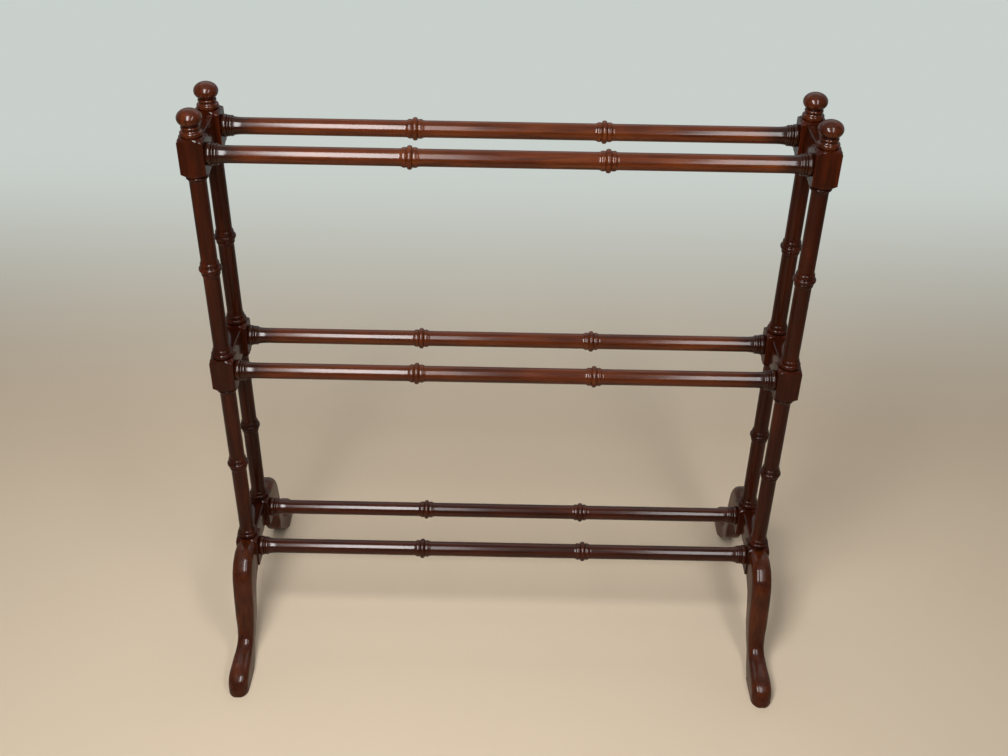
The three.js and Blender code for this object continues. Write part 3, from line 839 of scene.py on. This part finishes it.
def seen(tree):
    """1 for what the camera sees, straight or in a reflection, and 0 for light on its way."""
    ray = add(tree, "ShaderNodeLightPath").outputs
    straight = add(tree, "ShaderNodeMath", {"operation": "MAXIMUM"},
                   [ray["Is Camera Ray"], ray["Is Transmission Ray"]]).outputs[0]
    return add(tree, "ShaderNodeMath", {"operation": "MAXIMUM"},
               [straight, ray["Is Glossy Ray"]]).outputs[0]


def studio_floor(stage):
    """Matt painted floor that runs out behind the rack into a pale backdrop.

    The backdrop is seen but lights nothing, so the floor keeps the rack's shadow.
    """
    material = bpy.data.materials.new("pale_studio_floor")
    material.use_nodes = True
    tree = material.node_tree
    tree.nodes.clear()
    matt = add(tree, "ShaderNodeBsdfPrincipled", None,
               {"Base Color": tuple(stage.floor), "Roughness": 0.9}).outputs[0]
    pale = add(tree, "ShaderNodeEmission", None,
               {"Color": tuple(stage.backdrop), "Strength": 1.0}).outputs[0]
    spot = add(tree, "ShaderNodeTexCoord").outputs["Object"]
    behind = add(tree, "ShaderNodeSeparateXYZ", None, [spot]).outputs["Y"]
    far = add(tree, "ShaderNodeMapRange", {"interpolation_type": "SMOOTHSTEP"}, {
        "Value": behind, "From Min": BACKDROP_START, "From Max": BACKDROP_END}).outputs["Result"]
    share = add(tree, "ShaderNodeMath", {"operation": "MULTIPLY"}, [far, seen(tree)]).outputs[0]
    blend = add(tree, "ShaderNodeMixShader", None, [share, matt, pale]).outputs[0]
    add(tree, "ShaderNodeOutputMaterial", None, {"Surface": blend})
    return material


def pale_room(stage):
    """World that is dim in front of the rack, paler behind it and palest overhead.

    Each part shows paler, straight or in a reflection, than the light that it gives.
    """
    world = bpy.data.worlds.new("pale_room")
    world.use_nodes = True
    tree = world.node_tree
    background = tree.nodes["Background"]
    background.inputs["Color"].default_value = tuple(stage.room)
    way = add(tree, "ShaderNodeTexCoord").outputs["Generated"]
    _, behind, height = add(tree, "ShaderNodeSeparateXYZ", None, [way]).outputs
    shown = seen(tree)
    front, back, ceiling = (
        add(tree, "ShaderNodeMapRange", None,
            {"Value": shown, "To Min": light, "To Max": sheen}).outputs["Result"]
        for light, sheen in ((stage.room_light, stage.room_sheen),
                             (stage.back_light, stage.back_sheen),
                             (stage.ceiling_light, stage.ceiling_sheen)))
    around = add(tree, "ShaderNodeMapRange", {"interpolation_type": "SMOOTHSTEP"}, {
        "Value": behind, "From Min": 0.0, "From Max": 0.5,
        "To Min": front, "To Max": back}).outputs["Result"]
    strength = add(tree, "ShaderNodeMapRange", {"interpolation_type": "SMOOTHSTEP"}, {
        "Value": height, "From Min": 0.75, "From Max": 0.98,
        "To Min": around, "To Max": ceiling}).outputs["Result"]
    tree.links.new(strength, background.inputs["Strength"])
    return world


class SetStage(bpy.types.Operator):
    """Lay the floor, hang the lamps and place the camera"""

    bl_idname = "quilt_rack.set_stage"
    bl_label = "Set the stage"

    def execute(self, context):
        scene = context.scene
        stage = scene.rack_stage
        scene.view_settings.view_transform = "Standard"

        mesh = bpy.data.meshes.new("floor")
        corners = [(x * FLOOR_REACH, y * FLOOR_REACH, 0)
                   for x, y in ((-1, -1), (1, -1), (1, 1), (-1, 1))]
        mesh.from_pydata(corners, [], [(0, 1, 2, 3)])
        mesh.materials.append(studio_floor(stage))
        floor = bpy.data.objects.new("floor", mesh)
        scene.collection.objects.link(floor)
        scene.world = pale_room(stage)

        # Two soft lamps in front light the rack, and a wide dim one the floor behind it. The
        # strips stand a little lower, and give the lacquer its long streaks but no other light
        lamp, strip = stage.lamp_power, stage.strip_power
        forward, down = Vector((0, 0.985, -1.16)), Vector((0, 0, -1))
        lamps = {
            "lamp_left": ((-0.375, -0.985, 1.66), forward, (0.56, 1.1), lamp),
            "lamp_right": ((0.59, -0.985, 1.66), forward, (0.23, 1.1), lamp * 0.32),
            "lamp_behind": ((0, 2.2, 2.4), down, (3.4, 2.0), stage.back_lamp_power),
            "strip_left": ((-0.425, -1.115, 1.55), forward, (0.3, 1.4), strip),
            "strip_left_edge": ((-0.18, -1.115, 1.55), forward, (0.19, 1.4), strip * 0.2),
            "strip_right": ((0.59, -1.115, 1.55), forward, (0.23, 1.4), strip * 0.42),
        }
        for name, (place, facing, size, power) in lamps.items():
            light = bpy.data.lights.new(name, "AREA")
            light.shape = "RECTANGLE"
            light.size, light.size_y = size
            light.energy = power
            hung = bpy.data.objects.new(name, light)
            hung.location = place
            hung.rotation_euler = facing.to_track_quat("-Z", "Y").to_euler()
            hung.visible_camera = False
            hung.visible_diffuse = not name.startswith("strip")
            hung.visible_glossy = name.startswith("strip") or name == "lamp_behind"
            scene.collection.objects.link(hung)

        camera = bpy.data.objects.new("camera", bpy.data.cameras.new("camera"))
        camera.data.sensor_width = CAMERA_SENSOR
        camera.data.lens = CAMERA_LENS
        level = Vector((math.sin(CAMERA_YAW), math.cos(CAMERA_YAW), 0))
        ahead = level * math.cos(CAMERA_PITCH) - Vector((0, 0, math.sin(CAMERA_PITCH)))
        across = Vector((math.cos(CAMERA_YAW), -math.sin(CAMERA_YAW), 0))
        above = across.cross(ahead)
        right = across * math.cos(CAMERA_ROLL) + above * math.sin(CAMERA_ROLL)
        up = above * math.cos(CAMERA_ROLL) - across * math.sin(CAMERA_ROLL)
        turn = Matrix((right, up, -ahead)).transposed().to_4x4()
        camera.matrix_world = Matrix.Translation(CAMERA_PLACE) @ turn
        scene.collection.objects.link(camera)
        scene.camera = camera
        return {"FINISHED"}


class RackPanel(bpy.types.Panel):
    """Sizes, finish and making of the rack"""

    bl_idname = "VIEW3D_PT_quilt_rack"
    bl_label = "Quilt Rack"
    bl_space_type = "VIEW_3D"
    bl_region_type = "UI"
    bl_category = "Quilt Rack"

    def draw(self, context):
        for title, kind in GROUPS.items():
            group = getattr(context.scene, title)
            box = self.layout.box()
            box.label(text=title.removeprefix("rack_").title())
            for name in kind.__annotations__:
                box.prop(group, name)
        for operator in OPERATORS:
            self.layout.operator(operator.bl_idname)


OPERATORS = (TurnRails, TurnPosts, TurnFinials, PlaneCrossRails, ShapeFeet, CutDowels, SetStage)
GROUPS = {"rack_sizes": RackSizes, "rack_finish": RackFinish, "rack_stage": RackStage}


def register():
    """Register the classes and hang the settings on the scene."""
    for kind in (*GROUPS.values(), *OPERATORS, RackPanel):
        bpy.utils.register_class(kind)
    for name, kind in GROUPS.items():
        setattr(bpy.types.Scene, name, PointerProperty(type=kind))


def unregister():
    """Take away the settings and the classes."""
    for name in GROUPS:
        delattr(bpy.types.Scene, name)
    for kind in reversed((*GROUPS.values(), *OPERATORS, RackPanel)):
        bpy.utils.unregister_class(kind)


def main():
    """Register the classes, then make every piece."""
    register()
    for operator in OPERATORS:
        group, name = operator.bl_idname.split(".")
        getattr(getattr(bpy.ops, group), name)()


if __name__ == "__main__":
    main()
